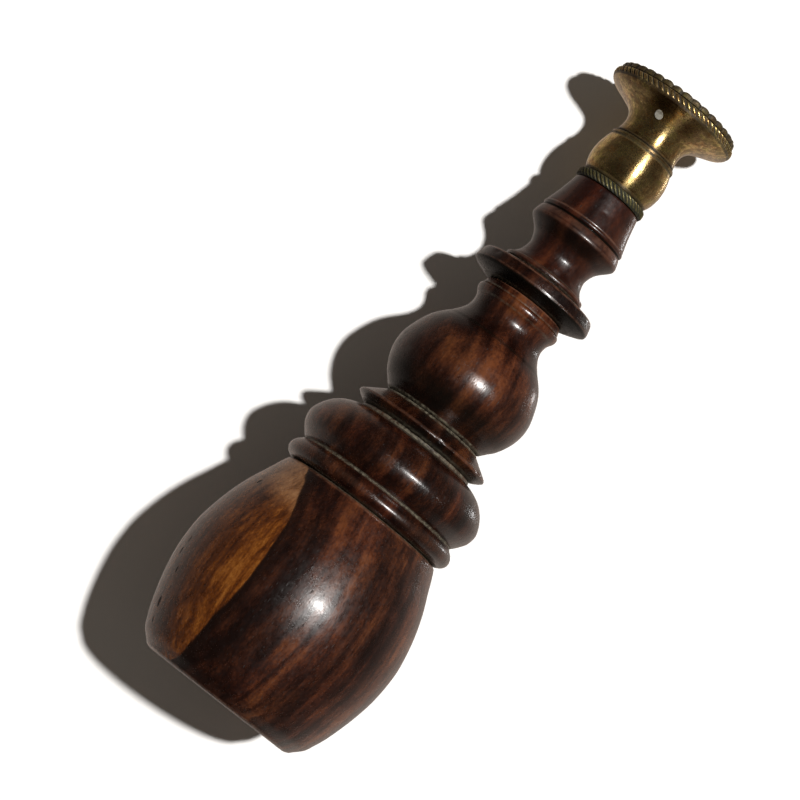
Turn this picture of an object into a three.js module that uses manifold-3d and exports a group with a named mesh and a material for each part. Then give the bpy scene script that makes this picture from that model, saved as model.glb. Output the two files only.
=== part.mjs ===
// Turned rosewood hand stamp, built upright as a stack of lathe-turned sections.
// Millimetres, +Z up along the turning axis, origin at the centre of the flat pommel end.
// The wooden sections plug into each other with turned tenons; the barrel pommel and the
// brass head are screwed on (threads left plain), so both draw off along Z.
import * as THREE from 'three';
import { mergeVertices } from 'three/addons/utils/BufferGeometryUtils.js';
import Module from 'manifold-3d';

// ---------------------------------------------------------------- driving dimensions
const FULL_TURN = 2 * Math.PI;
const SEAM = 0.1;     // axial gap left above each seam height
const FIT = 0.15;     // radial gap between a tenon and its socket
const OVERRUN = 1;    // how far a cutter reaches past the surface it opens

// Height of each section's top; the next section starts one SEAM above it.
const TOP = {
  barrel: 34.2,
  lowerCollar: 46.95,
  disc: 50.75,
  neck: 72.92,
  flange: 76.88,
  cone: 92.7,
  milledRing: 94.2,
  bulb: 101.55,
  head: 109.2,
  face: 110.0,
};

// Widest radius of each turned section.
const WIDEST = {
  barrel: 18.23,
  torus: 15.16,
  disc: 11.33,
  ball: 11.6,
  flange: 10.08,
  coneBead: 7.46,
  bulb: 6.12,
};

// Tenons and screws. "room" is the gap between the lower end and its socket's floor.
const BARREL_TENON = { radius: 7.0, bottom: 27.4, top: 41.6, chamfer: 0.6, topChamfer: 0.3, room: 1.2 };
const BALL_TENON = { radius: 4.5, bottom: 42.3 };
const CONE_TENON = { radius: 3.4, bottom: 64.2, room: 0.8 };
const BULB_TENON = { radius: 2.9, bottom: 84.4, room: 0.6 };
const HEAD_SCREW = { radius: 1.6, bottom: 97.0, top: 106.0, chamfer: 0.3, room: 0.8, roomAbove: 0.5 };

// Lobed outlines. "twistLobes" is how many lobes the top is turned against the bottom.
const RING_MILLING = { tipRadius: 5.82, rootRadius: 5.6, lobes: 46, twistLobes: -1.5 };
const RIM_MILLING = { tipRadius: 10.59, rootRadius: 10.33, lobes: 66, twistLobes: -1.2 };
const FACE_SCALLOPS = { tipRadius: 10.12, rootRadius: 9.72, lobes: 36 };

// ---------------------------------------------------------------- materials
function wood(color) {
  return new THREE.MeshStandardMaterial({ color, roughness: 0.32, metalness: 0 });
}

function metal(color, roughness) {
  return new THREE.MeshStandardMaterial({ color, roughness, metalness: 1 });
}

const MATERIALS = {
  heartwood: wood(0x4a2417),
  barrelWood: wood(0x63351c),
  darkWood: wood(0x2c1912),
  brass: metal(0x8c7338, 0.32),
  darkBrass: metal(0x4c4a2c, 0.5),
  silver: metal(0xc9c8c2, 0.3),
};

// ---------------------------------------------------------------- shape helpers
// All profiles are half outlines of [radius, z] points.

// A turned solid. The profile starts and ends on the axis or, for a ring, closes on itself.
function turned(profile, segments) {
  const points = profile.map(([radius, z]) => new THREE.Vector2(radius, z));
  const geometry = new THREE.LatheGeometry(points, segments);
  geometry.rotateX(Math.PI / 2);
  return geometry;
}

function turnedRing(profile, segments) {
  return turned([...profile, profile[0]], segments);
}

function cylinder(radius, bottom, top, segments) {
  return turned([[0, bottom], [radius, bottom], [radius, top], [0, top]], segments);
}

// End of a profile that opens a socket in a section's top, with room below the tenon.
function socket(tenon, mouth) {
  const radius = tenon.radius + FIT;
  const floor = tenon.bottom - tenon.room;
  return [[radius, mouth], [radius, floor], [0, floor]];
}

// Start of a profile that has a tenon below the section's shoulder.
function tenonBelow(tenon, shoulder) {
  return [[0, tenon.bottom], [tenon.radius, tenon.bottom], [tenon.radius, shoulder]];
}

// Points round the axis; direction is 1 for an outline and -1 for a hole.
function pointsAround(count, direction, radiusAt) {
  return Array.from({ length: count }, (_, i) => {
    const angle = direction * (i / count) * FULL_TURN;
    const radius = radiusAt(angle);
    return new THREE.Vector2(radius * Math.cos(angle), radius * Math.sin(angle));
  });
}

// A disc, or with a bore a band, whose outline is cut into lobes. Only the outer wall is
// twisted, as rope milling is; the bore stays straight.
function lobed({ tipRadius, rootRadius, lobes, twistLobes = 0, bore = 0, bottom, top }) {
  const boreSegments = 24;
  const height = top - bottom;
  const lobeRadius = (angle) => {
    const wave = 0.5 + 0.5 * Math.cos(angle * lobes);
    return rootRadius + (tipRadius - rootRadius) * wave;
  };
  const shape = new THREE.Shape(pointsAround(lobes * 2, 1, lobeRadius));
  shape.closePath();
  if (bore) {
    const hole = new THREE.Path(pointsAround(boreSegments, -1, () => bore));
    hole.closePath();
    shape.holes.push(hole);
  }
  const geometry = new THREE.ExtrudeGeometry(shape, {
    depth: height, bevelEnabled: false, steps: 1, curveSegments: 1,
  });

  const twist = twistLobes * FULL_TURN / lobes;
  const position = geometry.attributes.position;
  for (let i = 0; i < position.count; i++) {
    const x = position.getX(i);
    const y = position.getY(i);
    const z = position.getZ(i);
    const isOuter = Math.hypot(x, y) > (rootRadius + bore) / 2;
    const angle = isOuter ? twist * (z / height) : 0;
    const cos = Math.cos(angle);
    const sin = Math.sin(angle);
    position.setXYZ(i, x * cos - y * sin, x * sin + y * cos, z + bottom);
  }
  return geometry;
}

// A horizontal bar pointing away from the axis; its turn is measured from -Y towards -X.
function radialBar({ radius, turn, z, inner, outer, segments }) {
  const geometry = new THREE.CylinderGeometry(radius, radius, outer - inner, segments);
  geometry.translate(0, -(inner + outer) / 2, 0);
  geometry.rotateZ(-turn);
  geometry.translate(0, 0, z);
  return geometry;
}

// ---------------------------------------------------------------- solid helpers
const manifold = await Module();
manifold.setup();

function toSolid(geometry) {
  const loose = geometry.index ? geometry.toNonIndexed() : geometry.clone();
  // Normals and UVs would keep vertices at the same place from merging.
  loose.deleteAttribute('normal');
  loose.deleteAttribute('uv');
  const merged = mergeVertices(loose, 1e-4);
  const index = merged.index.array;
  const triangles = [];
  for (let i = 0; i < index.length; i += 3) {
    const [a, b, c] = [index[i], index[i + 1], index[i + 2]];
    // Lathe faces on the axis collapse when merged, so they are left out.
    if (a !== b && b !== c && a !== c) triangles.push(a, b, c);
  }
  return new manifold.Manifold(new manifold.Mesh({
    numProp: 3,
    vertProperties: new Float32Array(merged.attributes.position.array),
    triVerts: new Uint32Array(triangles),
  }));
}

function toGeometry(solid) {
  const { numProp, vertProperties, triVerts } = solid.getMesh();
  const positions = new Float32Array(vertProperties.length / numProp * 3);
  for (let i = 0; i < positions.length / 3; i++) {
    for (let k = 0; k < 3; k++) positions[3 * i + k] = vertProperties[numProp * i + k];
  }
  const geometry = new THREE.BufferGeometry();
  geometry.setAttribute('position', new THREE.BufferAttribute(positions, 3));
  geometry.setIndex(new THREE.BufferAttribute(new Uint32Array(triVerts), 1));
  return geometry;
}

const stamp = new THREE.Group();

function add(name, geometry, material) {
  geometry.computeVertexNormals();
  const mesh = new THREE.Mesh(geometry, material);
  mesh.name = name;
  stamp.add(mesh);
}

// ---------------------------------------------------------------- barrel pommel
const BASE_RADIUS = 12.8;    // flat pommel end
const BASE_EASING = { width: 0.35, height: 0.15 };

add('barrel', turned([
  [0, 0], [BASE_RADIUS - BASE_EASING.width, 0], [BASE_RADIUS, BASE_EASING.height],
  [13.3, 0.7], [14.53, 2.0], [15.84, 4.87], [16.75, 7.74], [17.48, 10.61], [18.0, 13.49],
  [WIDEST.barrel, 16.65], [18.11, 19.25], [17.66, 22.13], [16.96, 25.02], [15.98, 27.92],
  [14.71, 30.81], [13.45, 33.6], [13.1, TOP.barrel],
  ...socket(BARREL_TENON, TOP.barrel),
], 40), MATERIALS.barrelWood);

// Screwed tenon: stays in the collar and draws out of the barrel.
function barrelTenon() {
  const { radius, bottom, top, chamfer, topChamfer } = BARREL_TENON;
  return turned([
    [0, bottom], [radius - chamfer, bottom], [radius, bottom + chamfer],
    [radius, top - topChamfer], [radius - topChamfer, top], [0, top],
  ], 32);
}
add('barrel_tenon', barrelTenon(), MATERIALS.heartwood);

// ---------------------------------------------------------------- lower collar: bead and torus
const COLLAR_BORE_STEP = 41.9;    // the wide bore for the barrel tenon ends here
const BARREL_BORE = BARREL_TENON.radius + FIT;
const BALL_BORE = BALL_TENON.radius + FIT;

add('lower_collar', turnedRing([
  [BARREL_BORE, TOP.barrel + SEAM], [13.15, TOP.barrel + SEAM],
  [14.05, 34.88], [14.49, 35.85], [14.1, 36.8], [13.3, 37.6], [13.55, 38.07],
  [14.28, 38.94], [14.86, 39.82], [WIDEST.torus, 41.13], [15.06, 41.85], [14.44, 43.31],
  [13.57, 44.48], [12.41, 45.5], [11.11, 46.08], [9.9, 46.4], [9.58, TOP.lowerCollar],
  [BALL_BORE, TOP.lowerCollar], [BALL_BORE, COLLAR_BORE_STEP],
  [BARREL_BORE, COLLAR_BORE_STEP],
], 40), MATERIALS.heartwood);

// ---------------------------------------------------------------- sharp V-edged disc
add('collar_disc', turnedRing([
  [BALL_BORE, TOP.lowerCollar + SEAM], [9.4, TOP.lowerCollar + SEAM],
  [11.11, 47.98], [WIDEST.disc, 48.27], [11.11, 48.56], [9.45, 49.73],
  [8.1, TOP.disc], [BALL_BORE, TOP.disc],
], 40), MATERIALS.heartwood);

// ---------------------------------------------------------------- ball and neck
add('ball_neck', turned([
  ...tenonBelow(BALL_TENON, TOP.disc + SEAM),
  [8.14, TOP.disc + SEAM], [9.16, 52.07], [10.62, 54.11], [11.35, 55.9],
  [WIDEST.ball, 57.78], [11.45, 59.2], [10.85, 61.15], [10.05, 63.06], [8.82, 64.67],
  [7.73, 65.85], [6.7, 67.3], [6.27, 68.6], [6.49, 69.97], [6.93, 70.71], [7.05, 71.3],
  [6.74, 71.78], [6.42, TOP.neck],
  ...socket(CONE_TENON, TOP.neck),
], 36), MATERIALS.heartwood);

// ---------------------------------------------------------------- flange
const CONE_BORE = CONE_TENON.radius + FIT;

add('flange', turnedRing([
  [CONE_BORE, TOP.neck + SEAM], [6.3, TOP.neck + SEAM],
  [9.78, 74.1], [WIDEST.flange, 74.39], [WIDEST.flange, 74.69], [9.64, 76.16], [9.4, 76.32],
  [6.79, TOP.flange], [CONE_BORE, TOP.flange],
], 36), MATERIALS.darkWood);

// ---------------------------------------------------------------- cove, bead and cone
add('cone_collar', turned([
  ...tenonBelow(CONE_TENON, TOP.flange + SEAM),
  [6.6, TOP.flange + SEAM], [6.8, 77.3], [6.75, 77.75], [6.1, 77.95], [5.55, 78.82],
  [5.1, 79.8], [5.03, 80.6], [5.27, 81.78], [6.0, 82.96], [7.17, 84.15],
  [WIDEST.coneBead, 84.74], [7.25, 85.75], [6.85, 86.36], [7.08, 86.8], [6.92, 87.3],
  [6.27, 89.49], [5.57, TOP.cone],
  ...socket(BULB_TENON, TOP.cone),
], 32), MATERIALS.heartwood);

// ---------------------------------------------------------------- brass ferrule ring
add('milled_ring', lobed({
  ...RING_MILLING,
  bore: BULB_TENON.radius + FIT,
  bottom: TOP.cone + SEAM,
  top: TOP.milledRing,
}), MATERIALS.darkBrass);

// ---------------------------------------------------------------- brass bulb
add('bulb_ferrule', turned([
  ...tenonBelow(BULB_TENON, TOP.milledRing + SEAM),
  [5.2, TOP.milledRing + SEAM], [5.76, 95.43], [6.04, 96.48], [WIDEST.bulb, 97.52],
  [6.02, 98.71], [5.77, 99.9], [5.42, 100.9], [5.46, 101.3], [5.3, TOP.bulb],
  ...socket(HEAD_SCREW, TOP.bulb),
], 28), MATERIALS.brass);

// Screw of the head: stays in the head and draws out of the bulb.
function headScrew() {
  const { radius, bottom, top, chamfer } = HEAD_SCREW;
  return turned([
    [0, bottom], [radius - chamfer, bottom], [radius, bottom + chamfer],
    [radius, top], [0, top],
  ], 20);
}
add('head_screw', headScrew(), MATERIALS.brass);

// ---------------------------------------------------------------- brass head
const SEAT = { radius: 8.6, floor: 108.6 };    // shallow recess for the face plate
const RIM = { bore: 9.6, bottom: 108.1, top: 109.15 };

// Orientation dot, turned from the front (-Y) towards -X.
const PIN = { radius: 0.65, z: 105.8, turn: 14 * Math.PI / 180, inner: 3.6, outer: 12 };
const PIN_HOLE = { ...PIN, radius: PIN.radius + 0.13, inner: 3.3 };

const trumpet = toSolid(turned([
  [0, TOP.bulb + SEAM], [5.2, TOP.bulb + SEAM],
  [5.05, 102.2], [4.89, 103.18], [4.91, 104.08], [5.2, 104.83], [5.9, 105.6], [6.7, 106.06],
  [8.0, 106.65], [9.0, 107.07], [9.9, 107.5], [10.35, 107.9], [10.4, 108.15],
  [10.2, TOP.head], [0, TOP.head],
], 36));

function sealHead() {
  const rim = lobed({ ...RIM_MILLING, ...RIM });
  const screwHole = cylinder(
    HEAD_SCREW.radius + FIT, TOP.bulb - OVERRUN, HEAD_SCREW.top + HEAD_SCREW.roomAbove, 20,
  );
  const seat = cylinder(SEAT.radius, SEAT.floor, TOP.head + OVERRUN, 32);
  const pinHole = radialBar({ ...PIN_HOLE, segments: 16 });
  return toGeometry(trumpet
    .add(toSolid(rim))
    .subtract(toSolid(screwHole))
    .subtract(toSolid(seat))
    .subtract(toSolid(pinHole)));
}
add('seal_head', sealHead(), MATERIALS.brass);

// ---------------------------------------------------------------- face plate
// A scalloped disc with a ring groove in its face and a boss seated in the head.
const BOSS = { gap: 0.2, overlap: 0.2 };    // radial gap in the seat, overlap into the disc
const GROOVE = { inner: 7.5, outer: 8.2, depth: 0.3 };

function facePlate() {
  const underside = TOP.head + SEAM;
  const disc = lobed({ ...FACE_SCALLOPS, bottom: underside, top: TOP.face });
  const boss = cylinder(
    SEAT.radius - BOSS.gap, SEAT.floor + SEAM, underside + BOSS.overlap, 32,
  );
  const grooveFloor = TOP.face - GROOVE.depth;
  const cutterTop = TOP.face + OVERRUN;
  const groove = turnedRing([
    [GROOVE.inner, grooveFloor], [GROOVE.outer, grooveFloor],
    [GROOVE.outer, cutterTop], [GROOVE.inner, cutterTop],
  ], 32);
  return toGeometry(toSolid(disc).add(toSolid(boss)).subtract(toSolid(groove)));
}
add('face_plate', facePlate(), MATERIALS.brass);

// ---------------------------------------------------------------- locating pin
// A silver pin let into the flare, its outer end trimmed flush with the trumpet's surface.
const pinBar = toSolid(radialBar({ ...PIN, segments: 14 }));
add('locating_pin', toGeometry(pinBar.intersect(trumpet)), MATERIALS.silver);

export default stamp;
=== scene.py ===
# Turned rosewood hand stamp with a brass head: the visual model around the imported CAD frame.
# It stands on the barrel's flat end at z = 0 with its axis on +Z. The face plate is at the
# top and the front faces -Y. Lengths are in mm, and go to metres as the meshes are made.
import math
from functools import reduce

import bpy
import numpy as np
from mathutils import Matrix, Vector


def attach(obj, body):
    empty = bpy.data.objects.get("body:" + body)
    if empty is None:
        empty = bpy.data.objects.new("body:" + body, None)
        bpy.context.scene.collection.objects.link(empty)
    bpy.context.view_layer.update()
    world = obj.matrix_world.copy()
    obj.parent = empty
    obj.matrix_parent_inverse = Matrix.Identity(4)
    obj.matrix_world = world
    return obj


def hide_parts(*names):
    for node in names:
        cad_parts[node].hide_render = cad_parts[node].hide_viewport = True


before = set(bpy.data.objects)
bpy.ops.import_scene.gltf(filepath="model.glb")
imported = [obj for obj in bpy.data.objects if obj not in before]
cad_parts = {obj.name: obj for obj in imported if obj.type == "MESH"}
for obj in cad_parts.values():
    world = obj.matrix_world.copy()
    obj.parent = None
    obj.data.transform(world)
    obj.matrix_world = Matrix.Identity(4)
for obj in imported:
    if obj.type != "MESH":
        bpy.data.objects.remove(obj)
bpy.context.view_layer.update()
TAU = 2 * math.pi
MM = 0.001

# heights at which the stacked pieces end; the next piece starts JOINT higher
JOINT = 0.1
BARREL_TOP, COLLAR_TOP, DISC_TOP, BALL_TOP = 34.2, 46.95, 50.75, 72.92
FLANGE_TOP, CONE_TOP, RING_TOP, BULB_TOP = 76.88, 92.7, 94.2, 101.55
COLLAR_BASE, DISC_BASE = BARREL_TOP + JOINT, COLLAR_TOP + JOINT
BALL_BASE, FLANGE_BASE = DISC_TOP + JOINT, BALL_TOP + JOINT
CONE_BASE, RING_BASE = FLANGE_TOP + JOINT, CONE_TOP + JOINT
BULB_BASE, HEAD_BASE = RING_TOP + JOINT, BULB_TOP + JOINT

TENON_R, SCREW_R = 6.95, 1.58      # threaded parts
RING_R, RIM_R = 5.88, 10.66        # milled ring and milled rim of the head
RING_CORDS, RIM_CORDS = 46, 66     # ridges round each
RING_MID, RIM_MID = 93.5, 108.74   # heights of their middles
LOBES = 36                         # scallops round the face plate


# ------------------------------------------------------------------ lathe outlines
def between(at, start, end, a, b):
    """Linear blend from a at start to b at end."""
    return (end - at) / (end - start) * a + (at - start) / (end - start) * b


def smooth_run(points, step):
    """Centripetal Catmull-Rom through a run of (radius, z), sampled about every step mm."""
    points = [np.array(q, float) for q in points]
    first, last = points[0], points[-1]
    if len(points) == 2:
        n = max(1, int(round(np.linalg.norm(last - first) / step)))
        return [first + (last - first) * i / n for i in range(n + 1)]
    padded = [2 * first - points[1]] + points + [2 * last - points[-2]]
    out = [first]
    for i in range(1, len(padded) - 2):
        a, b, c, d = padded[i - 1 : i + 3]
        knots = [0.0]
        for start, end in ((a, b), (b, c), (c, d)):
            knots.append(knots[-1] + max(1e-6, np.linalg.norm(end - start) ** 0.5))
        k0, k1, k2, k3 = knots
        n = max(1, int(round(np.linalg.norm(c - b) / step)))
        for k in range(1, n + 1):
            at = k1 + (k2 - k1) * k / n
            ab = between(at, k0, k1, a, b)
            bc = between(at, k1, k2, b, c)
            cd = between(at, k2, k3, c, d)
            abc = between(at, k0, k2, ab, bc)
            bcd = between(at, k1, k3, bc, cd)
            out.append(between(at, k1, k2, abc, bcd))
    return out


def trim(run, length):
    """Drops the first length mm of a run, at most 45% of it."""
    total = sum(np.linalg.norm(b - a) for a, b in zip(run[:-1], run[1:]))
    left = min(length, total * 0.45)
    i = 0
    while (gap := np.linalg.norm(run[i + 1] - run[i])) <= left + 1e-9:
        left -= gap
        i += 1
    return [run[i] + (run[i + 1] - run[i]) * left / gap] + run[i + 1 :]


def sample_outline(outline, step, closed):
    """Samples (radius, z) or (radius, z, fillet) points. A fillet marks a corner, rounded over
    that length; the run between two corners is a smooth curve."""
    points = list(outline) + ([outline[0]] if closed else [])
    fillets = [q[2] if len(q) == 3 else 0 for q in points]
    corners = [i for i, q in enumerate(points) if len(q) == 3]
    cuts = sorted({0, *corners, len(points) - 1})
    runs = []
    for start, end in zip(cuts[:-1], cuts[1:]):
        run = smooth_run([q[:2] for q in points[start : end + 1]], step)
        if fillets[start]:
            run = trim(run, fillets[start])
        if fillets[end]:
            run = trim(run[::-1], fillets[end])[::-1]
        runs.append(run)
    samples = []
    for i, (run, cut) in enumerate(zip(runs, cuts[1:])):
        samples += run
        if fillets[cut]:
            corner = np.array(points[cut][:2], float)
            a, b = run[-1], runs[(i + 1) % len(runs)][0]
            for f in (0.33, 0.67):
                samples.append((1 - f) ** 2 * a + 2 * f * (1 - f) * corner + f * f * b)
    kept = [samples[0]]
    for q in samples[1:]:
        if np.linalg.norm(q - kept[-1]) > 0.01:
            kept.append(q)
    if closed and np.linalg.norm(kept[0] - kept[-1]) < 0.01:
        kept.pop()
    return np.array(kept)


# ------------------------------------------------------------------ mesh making
def make_mesh(name, verts_mm, faces):
    mesh = bpy.data.meshes.new(name)
    mesh.from_pydata((np.array(verts_mm) * MM).tolist(), [], faces)
    mesh.validate()
    mesh.polygons.foreach_set("use_smooth", [True] * len(mesh.polygons))
    mesh.update()
    ob = bpy.data.objects.new(name, mesh)
    bpy.context.scene.collection.objects.link(ob)
    return ob


def turned(name, outline, segments, step, shape, closed=False):
    """A lathe body. An open outline starts and ends on the axis; a closed one is a hollow ring.
    shape(radius, z, turn) returns changed radius and z arrays."""
    samples = sample_outline(outline, step, closed)
    rings = samples if closed else samples[1:-1]
    count = len(rings)
    radius = np.repeat(rings[:, 0][:, None], segments, 1)
    z = np.repeat(rings[:, 1][:, None], segments, 1)
    turn = np.repeat((np.arange(segments) / segments * TAU)[None, :], count, 0)
    radius, z = shape(radius, z, turn)
    verts = np.stack([radius * np.cos(turn), radius * np.sin(turn), z], -1).reshape(-1, 3).tolist()
    here = np.arange(segments)
    after = (here + 1) % segments
    faces = []
    for i in range(count if closed else count - 1):
        low, high = i * segments, (i + 1) % count * segments
        faces += np.stack([low + here, low + after, high + after, high + here], -1).tolist()
    if not closed:
        centre, base = len(verts), (count - 1) * segments
        verts += [[0, 0, float(samples[0][1])], [0, 0, float(samples[-1][1])]]
        faces += [[(k + 1) % segments, k, centre] for k in range(segments)]
        faces += [[base + k, base + (k + 1) % segments, centre + 1] for k in range(segments)]
    return make_mesh(name, verts, faces)


# ------------------------------------------------------------------ changes of a lathe body
def thread(base, depth, pitch, z0, z1):
    """Cuts a right-hand helical thread between z0 and z1 where the radius is near base."""

    def change(radius, z, turn):
        phase = (z / pitch - turn / TAU) % 1.0
        crest = np.clip((1 - np.abs(phase * 2 - 1)) * 1.5 - 0.25, 0, 1)
        fade = np.clip((z - z0) / 0.6, 0, 1) * np.clip((z1 - z) / 0.6, 0, 1)
        near = (np.abs(radius - base) < 0.02).astype(float)
        return radius - depth * (1 - crest) * fade * near, z

    return change


def dents(seed, count, z_span, depth, width, height):
    """Small dents: list of (turn, z, depth, width, height)."""
    rng = np.random.default_rng(seed)
    return [
        (
            rng.uniform(0, TAU),
            rng.uniform(*z_span),
            depth * rng.uniform(0.3, 1.0),
            width * rng.uniform(0.5, 1.6),
            height * rng.uniform(0.5, 1.4),
        )
        for _ in range(count)
    ]


def wobble(seed, amount, r_min, dented=()):
    """Slight out-of-round and turning ripple of hand-turned work, with dents, beyond r_min."""
    start = np.random.default_rng(seed).uniform(0, TAU, 8)

    def change(radius, z, turn):
        reach = np.clip((radius - r_min) / 2.0, 0, 1)
        swell = amount * 0.55 * np.sin(2 * turn + start[0] + z * 0.02)
        swell += amount * 0.3 * np.sin(3 * turn + start[1] - z * 0.03)
        swell += amount * 0.07 * np.sin(z * 1.9 + start[2] + 0.3 * np.sin(turn + start[3]))
        swell += amount * 0.03 * np.sin(z * 4.3 + start[4])
        swell += amount * 0.12 * np.sin(7 * turn + start[5] + z * 0.4)
        out = radius + swell * reach
        for at, at_z, depth, width, height in dented:
            away = (turn - at + math.pi) % TAU - math.pi
            dip = np.exp(-((away * radius / width) ** 2) - ((z - at_z) / height) ** 2)
            out = out - depth * dip * reach
        return out, z

    return change


def slant_for(count, radius):
    """Ridges passed per mm of height when count ridges lie at 45 degrees at that radius."""
    return count / TAU / radius


def rope(count, mid, half, depth, slant, r_out):
    """Slanted rounded ridges within half of mid on the outside, count of them round the body."""

    def change(radius, z, turn):
        u = (z - mid) / half
        inside = np.clip(1 - np.abs(u) ** 6, 0, 1) * (np.abs(u) <= 1)
        phase = (turn * count / TAU + slant * (z - mid)) % 1.0
        ridge = np.abs(np.sin(math.pi * phase)) ** 1.3
        jitter = 0.88 + 0.12 * np.sin(turn * 3.0 + 1.3) * np.sin(turn * 11.0)
        outside = (radius > r_out - 0.35).astype(float)
        return radius - depth * (1 - ridge) * inside * outside * jitter, z

    return change


def scallops(count, r_from, r_to, cut, drop, z_from):
    """Rounded lobes of uneven depth round the edge of the face, cut inwards and downwards."""
    size = np.random.default_rng(17).uniform(0.25, 1.0, count)

    def change(radius, z, turn):
        lobe = np.abs(np.cos(turn * count / 2.0)) ** 0.7
        which = np.round(turn * count / TAU - 0.5).astype(int) % count
        hollow = (1 - lobe) * (0.30 + 0.55 * size[which])
        reach = np.clip((radius - r_from) / (r_to - r_from), 0, 1)
        reach = reach * reach * (3 - 2 * reach)
        raised = np.clip((z - z_from) / 0.25, 0, 1)
        jitter = 0.85 + 0.15 * np.sin(turn * 5.0 + 0.7) * np.sin(turn * 13.0 + 2.0)
        arch = np.sin(math.pi * np.clip((radius - r_from + 0.5) / (r_to - r_from + 1.1), 0, 1))
        return (radius - cut * hollow * reach * raised * jitter,
                z - drop * hollow * arch * raised * jitter)

    return change


def both(first, second):
    return lambda radius, z, turn: second(*first(radius, z, turn), turn)


# ------------------------------------------------------------------ shader helpers
class Tree:
    def __init__(self, tree):
        self.nodes, self.links = tree.nodes, tree.links
        self.nodes.clear()

    def new(self, kind, **props):
        node = self.nodes.new(kind)
        for key, value in props.items():
            setattr(node, key, value)
        return node

    def put(self, socket, value):
        if isinstance(value, bpy.types.NodeSocket):
            self.links.new(value, socket)
        else:
            if isinstance(value, tuple) and socket.type == "RGBA":
                value = (*value, 1.0)
            socket.default_value = value

    def math(self, operation, *values):
        node = self.new("ShaderNodeMath", operation=operation)
        for socket, value in zip(node.inputs, values):
            self.put(socket, value)
        return node.outputs[0]

    def add(self, a, b):
        return self.math("ADD", a, b)

    def sub(self, a, b):
        return self.math("SUBTRACT", a, b)

    def mul(self, a, b):
        return self.math("MULTIPLY", a, b)

    def mul_add(self, a, b, c):
        return self.math("MULTIPLY_ADD", a, b, c)

    def max(self, a, b):
        return self.math("MAXIMUM", a, b)

    def apart(self, value, centre):
        return self.math("ABSOLUTE", self.sub(value, centre))

    def vec(self, operation, a, b=None, scale=None):
        node = self.new("ShaderNodeVectorMath", operation=operation)
        self.put(node.inputs[0], a)
        if b is not None:
            self.put(node.inputs[1], b)
        if scale is not None:
            self.put(node.inputs["Scale"], scale)
        return node.outputs["Value" if operation in ("DISTANCE", "LENGTH") else 0]

    def xyz(self, vector):
        node = self.new("ShaderNodeSeparateXYZ")
        self.put(node.inputs[0], vector)
        return tuple(node.outputs)

    def join(self, x, y, z):
        node = self.new("ShaderNodeCombineXYZ")
        for socket, value in zip(node.inputs, (x, y, z)):
            self.put(socket, value)
        return node.outputs[0]

    def noise(self, vector, detail=3.0, rough=0.6, color=False):
        node = self.new("ShaderNodeTexNoise")
        self.put(node.inputs["Vector"], vector)
        self.put(node.inputs["Scale"], 1.0)
        self.put(node.inputs["Detail"], detail)
        self.put(node.inputs["Roughness"], rough)
        return node.outputs[int(color)]

    def stretched(self, vector, stretch, shift):
        vector = self.vec("MULTIPLY", vector, stretch)
        return self.vec("ADD", vector, shift) if shift else vector

    def grain(self, vector, stretch, shift=None, **settings):
        """Noise; stretch is features per mm along x, y and z."""
        return self.noise(self.stretched(vector, stretch, shift), **settings)

    def cells(self, vector, stretch, shift=None):
        """Distance to the nearest of scattered points; stretch is points per mm."""
        node = self.new("ShaderNodeTexVoronoi")
        self.put(node.inputs["Vector"], self.stretched(vector, stretch, shift))
        self.put(node.inputs["Scale"], 1.0)
        return node.outputs["Distance"]

    def span(self, value, lo, hi, start=0.0, end=1.0, smooth=True):
        """start at value lo, going to end at value hi."""
        kind = "SMOOTHSTEP" if smooth else "LINEAR"
        node = self.new("ShaderNodeMapRange", interpolation_type=kind)
        self.put(node.inputs["Value"], value)
        for key, number in zip(("From Min", "From Max", "To Min", "To Max"), (lo, hi, start, end)):
            self.put(node.inputs[key], number)
        return node.outputs[0]

    def mix(self, share, a, b, blend="MIX"):
        node = self.new("ShaderNodeMix", data_type="RGBA", blend_type=blend)
        for index, value in ((0, share), (6, a), (7, b)):
            self.put(node.inputs[index], value)
        return node.outputs[2]

    def mixf(self, share, a, b):
        node = self.new("ShaderNodeMix", data_type="FLOAT")
        for index, value in ((0, share), (2, a), (3, b)):
            self.put(node.inputs[index], value)
        return node.outputs[0]

    def multiply(self, col, by):
        return self.mix(1.0, col, by, "MULTIPLY")

    def tinge(self, share, col, by):
        return self.mix(share, col, self.multiply(col, by))

    def ramp(self, value, stops, mode="LINEAR"):
        node = self.new("ShaderNodeValToRGB")
        ramp = node.color_ramp
        ramp.interpolation = mode
        while len(ramp.elements) < len(stops):
            ramp.elements.new(0.5)
        for element, (place, colour) in zip(ramp.elements, stops):
            element.position = place
            element.color = (*colour, 1.0)
        self.put(node.inputs[0], value)
        return node.outputs[0]

    def bump(self, height, strength, distance):
        node = self.new("ShaderNodeBump")
        self.put(node.inputs["Strength"], strength)
        self.put(node.inputs["Distance"], distance)
        self.put(node.inputs["Height"], height)
        return node.outputs[0]

    def band(self, z, centre, half, soft):
        """1 within half of centre, falling to 0 over soft."""
        return self.span(self.apart(z, centre), half, half + soft, 1.0, 0.0)

    def ellipsoid(self, vector, centre, half):
        """0 at centre, 1 on the ellipsoid of those half sizes."""
        offset = self.vec("SUBTRACT", vector, centre)
        return self.vec("LENGTH", self.vec("MULTIPLY", offset, tuple(1.0 / h for h in half)))

    def layered(self, layers, contrast=1.0):
        """0.5 plus each noise's departure from 0.5 times its weight."""
        total = 0.5
        for noise, weight in layers:
            total = self.mul_add(self.sub(noise, 0.5), weight * contrast, total)
        return total

    def object_mm(self):
        coords = self.new("ShaderNodeTexCoord")
        return self.vec("SCALE", coords.outputs["Object"], scale=1000.0)

    def principled(self, **inputs):
        node = self.new("ShaderNodeBsdfPrincipled")
        for key, value in inputs.items():
            self.put(node.inputs[key.replace("_", " ")], value)
        self.finish(node.outputs[0])

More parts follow.
